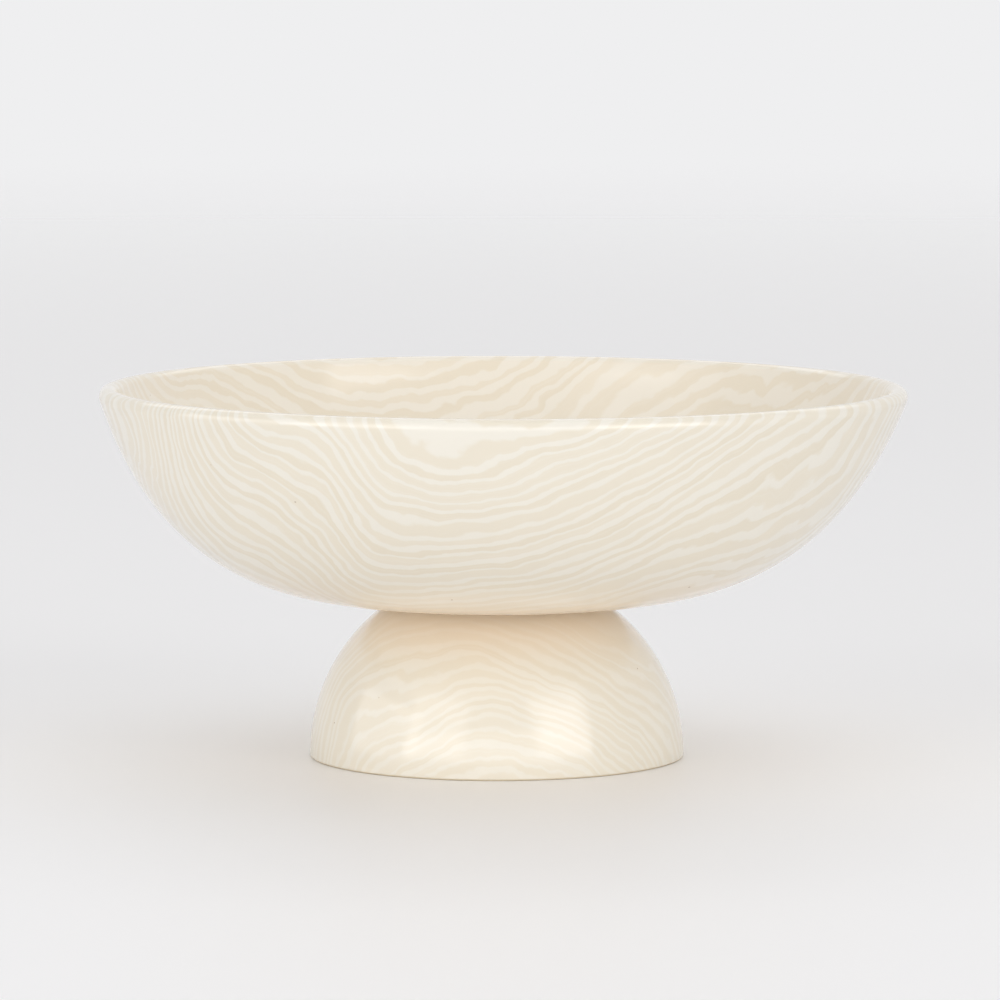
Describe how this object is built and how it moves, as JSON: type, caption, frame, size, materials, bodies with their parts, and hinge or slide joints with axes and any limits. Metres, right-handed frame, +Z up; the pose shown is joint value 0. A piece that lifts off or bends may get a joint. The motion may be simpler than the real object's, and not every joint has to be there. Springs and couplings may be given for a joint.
{
  "type": "pedestal bowl",
  "caption": "Wide open bowl with a rounded lip, luted onto a hollow dome foot, in glazed marbled stoneware, for fruit or serving.",
  "frame": {"origin": "centre of the foot ring, on the surface the bowl stands on", "axes": "+Z up along the axis of the bowl and foot; -Y is the side that faces the camera in the picture"},
  "size_m": [0.2998, 0.2998, 0.1384],
  "materials": {
    "bowl_clay": "marbled white and beige stoneware under a clear gloss glaze",
    "foot_clay": "marbled white and beige stoneware under a clear gloss glaze, bare on the foot ring",
    "luting_slip": "fired slip, matt"
  },
  "bodies": {
    "root": {"bowl": "bowl_clay", "foot": "foot_clay", "slip_joint": "luting_slip"}
  },
  "joints": []
}
